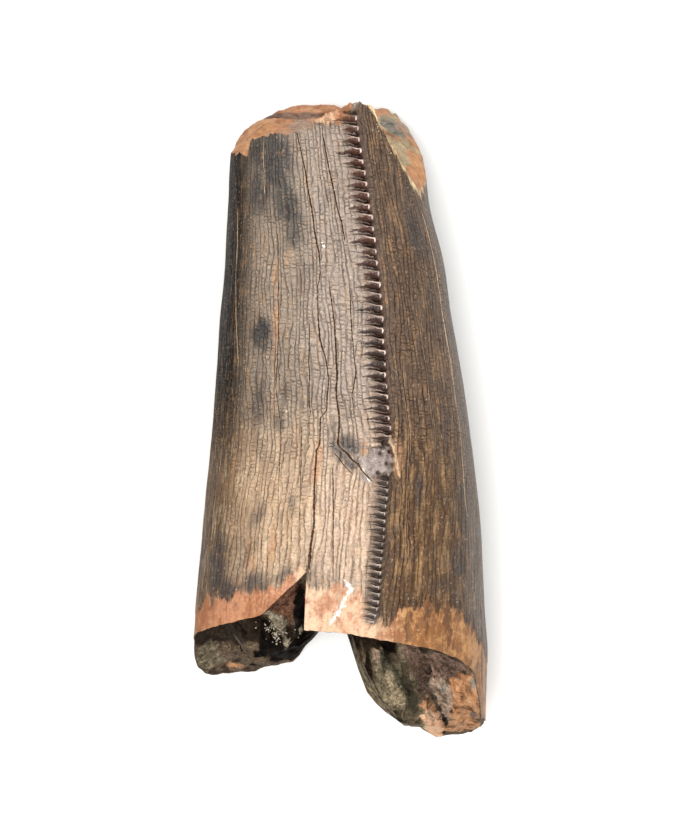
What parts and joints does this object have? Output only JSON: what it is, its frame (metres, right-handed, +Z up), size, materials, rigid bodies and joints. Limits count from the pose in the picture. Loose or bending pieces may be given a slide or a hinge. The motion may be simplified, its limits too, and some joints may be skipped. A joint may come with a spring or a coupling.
{
  "type": "fossil tyrannosaur tooth",
  "caption": "Broken fossil tyrannosaur tooth crown lying on its back: serrated keel up, rough break at the tip end, ragged base with an open pulp cavity and a longer lobe on one side.",
  "frame": {"origin": "middle of the footprint's box, on the surface that the tooth lies on", "axes": "+Y along the crown towards its broken tip end, +Z up through the serrated front keel, +X towards the side whose base lobe is longer"},
  "size_m": [0.0178, 0.0394, 0.017],
  "materials": {
    "enamel": "satin brown fossil enamel with fine wrinkles, paler orange-brown dentine where it is broken"
  },
  "bodies": {
    "root": {"tooth": "enamel"}
  },
  "joints": []
}
